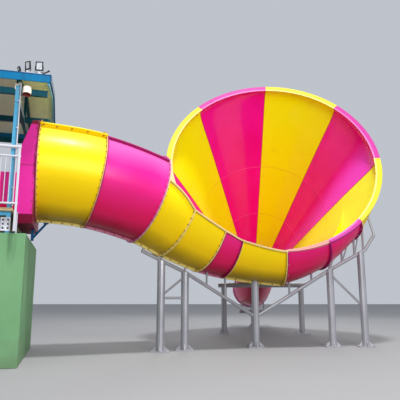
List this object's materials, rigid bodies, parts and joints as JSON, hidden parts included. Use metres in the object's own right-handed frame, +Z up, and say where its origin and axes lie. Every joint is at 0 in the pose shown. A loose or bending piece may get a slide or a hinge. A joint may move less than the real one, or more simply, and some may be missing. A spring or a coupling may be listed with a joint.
{
  "type": "funnel water slide with start tower",
  "caption": "Open striped funnel water slide fed by a tube and flume from a roofed start platform on a masonry base.",
  "frame": {"origin": "middle of the underside of the base plate of the inner left post, at ground level", "axes": "+Z up, +X to the right along the front of the slide, +Y away from the front"},
  "size_m": [13.5175, 13.4379, 7.7789],
  "materials": {
    "pink_fibreglass": "glossy gelcoat on glass-reinforced plastic",
    "yellow_fibreglass": "glossy gelcoat on glass-reinforced plastic",
    "galvanised_steel": "hot-dip galvanised, satin",
    "sky_blue_paint": "satin paint",
    "teal_paint": "satin paint",
    "roof_sheet": "matt coated sheet",
    "green_masonry": "painted render, matt",
    "deck_boarding": "matt boarding",
    "white_rail": "satin white paint"
  },
  "bodies": {
    "root": {"barge_board_left": "teal_paint", "barge_board_right": "teal_paint", "base_wall_front": "green_masonry", "base_wall_left": "green_masonry", "base_wall_rear": "green_masonry", "base_wall_right": "green_masonry", "centre_post": "galvanised_steel", "column_front_left": "sky_blue_paint", "column_front_right": "sky_blue_paint", "column_rear_left": "sky_blue_paint", "column_rear_right": "sky_blue_paint", "deck": "deck_boarding", "deck_beam_front": "sky_blue_paint", "deck_beam_rear": "sky_blue_paint", "eave_beam_front": "teal_paint", "eave_beam_rear": "teal_paint", "fascia_front": "sky_blue_paint", "fascia_rear": "sky_blue_paint", "flume_first_yellow": "yellow_fibreglass", "flume_fourth_yellow": "yellow_fibreglass", "flume_second_yellow": "yellow_fibreglass", "flume_third_pink": "pink_fibreglass", "funnel_stripe_bottom_left": "yellow_fibreglass", "funnel_stripe_bottom_right": "pink_fibreglass", "funnel_stripe_left_lower": "pink_fibreglass", "funnel_stripe_left_upper": "yellow_fibreglass", "funnel_stripe_right_lower": "yellow_fibreglass", "funnel_stripe_right_upper": "pink_fibreglass", "funnel_stripe_top_left": "pink_fibreglass", "funnel_stripe_top_right": "yellow_fibreglass", "hood": "pink_fibreglass", "hood_post": "teal_paint", "mouth_plate": "pink_fibreglass", "railing_corner_foot": "white_rail", "railing_front": "white_rail", "railing_left": "white_rail", "railing_rear": "white_rail", "railing_right": "white_rail", "rear_frame": "galvanised_steel", "ridge_beam": "teal_paint", "roof_slope_front": "roof_sheet", "roof_slope_rear": "roof_sheet", "roof_tie_left": "teal_paint", "roof_tie_right": "teal_paint", "roof_truss_left": "teal_paint", "roof_truss_right": "teal_paint", "run_out_pink": "pink_fibreglass", "run_out_stand": "galvanised_steel", "start_tub": "pink_fibreglass", "start_tub_end": "pink_fibreglass", "trestle_left": "galvanised_steel", "trestle_right": "galvanised_steel", "tube_lower_pink": "pink_fibreglass", "tube_upper_yellow": "yellow_fibreglass"}
  },
  "joints": []
}
